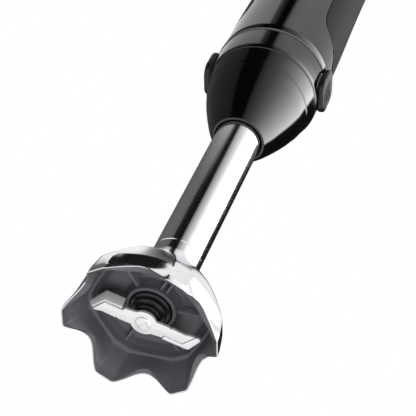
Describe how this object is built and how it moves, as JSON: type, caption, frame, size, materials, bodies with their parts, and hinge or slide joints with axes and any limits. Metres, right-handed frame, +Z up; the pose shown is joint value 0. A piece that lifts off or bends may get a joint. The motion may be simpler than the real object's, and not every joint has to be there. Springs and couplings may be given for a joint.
{
  "type": "immersion blender",
  "caption": "Stick hand blender standing on its scalloped steel bell: splash liner, blade, steel tube, tulip coupling and lift-off motor handle with switches and dial.",
  "frame": {"origin": "middle of the plane of the six feet of the bell, on the shaft axis", "axes": "+Z up the shaft to the handle top, -Y towards the switches, +X and -X through the two release buttons and two of the feet"},
  "size_m": [0.0674, 0.0624, 0.3988],
  "materials": {
    "polished_steel": "mirror-polished stainless steel",
    "ground_steel": "brushed and satin-ground steel",
    "dark_plastic": "fine-textured dark grey moulding",
    "black_gloss": "piano-black high-gloss moulding",
    "soft_black": "soft-touch elastomer, matte",
    "black_rubber": "satin black rubber",
    "natural_plastic": "unpainted nylon",
    "bronze": "sintered bronze",
    "lamination": "stacked electrical steel",
    "copper": "enamelled copper",
    "carbon": "pressed carbon",
    "board_green": "solder-masked board"
  },
  "bodies": {
    "attachment": {"bell_shell": "polished_steel", "splash_liner": "dark_plastic", "shaft_tube": "polished_steel", "bush_housing": "natural_plastic", "lower_bush": "bronze", "shaft_seal": "black_rubber", "coupling_shell": "black_gloss", "seam_ring": "dark_plastic", "coupling_core": "dark_plastic", "upper_bush": "bronze"},
    "blade_shaft": {"blade": "ground_steel", "blade_rivet": "ground_steel", "blade_collar": "ground_steel", "drive_shaft": "polished_steel", "drive_dog": "natural_plastic", "shaft_washer": "ground_steel"},
    "handle": {"handle_shell": "black_gloss", "grip_sleeve": "soft_black", "base_plate": "dark_plastic", "release_spring_right": "ground_steel", "release_spring_left": "ground_steel", "motor_bracket_lower": "ground_steel", "bearing_lower": "bronze", "motor_bracket_upper": "ground_steel", "bearing_upper": "bronze", "motor_field": "lamination", "field_coil_rear": "copper", "field_coil_front": "copper", "brush_front": "carbon", "brush_rear": "carbon", "brush_holder_front": "bronze", "brush_holder_rear": "bronze", "motor_screw_right": "ground_steel", "motor_screw_left": "ground_steel", "circuit_board": "board_green", "power_switch": "black_rubber", "turbo_switch": "black_rubber", "terminal_block": "natural_plastic", "top_cap": "black_gloss", "dial_potentiometer": "dark_plastic", "cord_gland": "black_rubber"},
    "rotor": {"drive_socket": "black_rubber", "motor_shaft": "polished_steel", "cooling_fan": "natural_plastic", "rotor_core": "lamination", "rotor_winding": "copper", "commutator": "copper"},
    "release_right": {"release_button_right": "soft_black", "latch_hook_right": "natural_plastic"},
    "release_left": {"release_button_left": "soft_black", "latch_hook_left": "natural_plastic"},
    "power_key": {"power_button": "soft_black"},
    "turbo_key": {"turbo_button": "soft_black"},
    "dial": {"speed_dial": "soft_black"}
  },
  "joints": [
    {"name": "handle_lift", "type": "slide", "parent": "attachment", "child": "handle", "axis": [0, 0, 1], "range_m": [0, 0.03]},
    {"name": "rotor_spin", "type": "hinge", "parent": "handle", "child": "rotor", "pos_m": [0, 0, 0.24], "axis": [0, 0, 1], "continuous": true},
    {"name": "blade_spin", "type": "hinge", "parent": "attachment", "child": "blade_shaft", "pos_m": [0, 0, 0.007], "axis": [0, 0, 1], "continuous": true},
    {"name": "release_right_press", "type": "slide", "parent": "handle", "child": "release_right", "axis": [-1, 0, 0], "range_m": [0, 0.002], "stiffness_N_per_m": 400},
    {"name": "release_left_press", "type": "slide", "parent": "handle", "child": "release_left", "axis": [1, 0, 0], "range_m": [0, 0.002], "stiffness_N_per_m": 400},
    {"name": "power_press", "type": "slide", "parent": "handle", "child": "power_key", "axis": [0, 1, 0], "range_m": [0, 0.0022], "stiffness_N_per_m": 400},
    {"name": "turbo_press", "type": "slide", "parent": "handle", "child": "turbo_key", "axis": [0, 1, 0], "range_m": [0, 0.0022], "stiffness_N_per_m": 400},
    {"name": "dial_turn", "type": "hinge", "parent": "handle", "child": "dial", "pos_m": [0, -0.0065, 0.3955], "axis": [0, 0, 1], "range_deg": [-135, 135]}
  ],
  "couplings": [
    {"joint": "blade_spin", "follows": "rotor_spin", "ratio": 1}
  ]
}
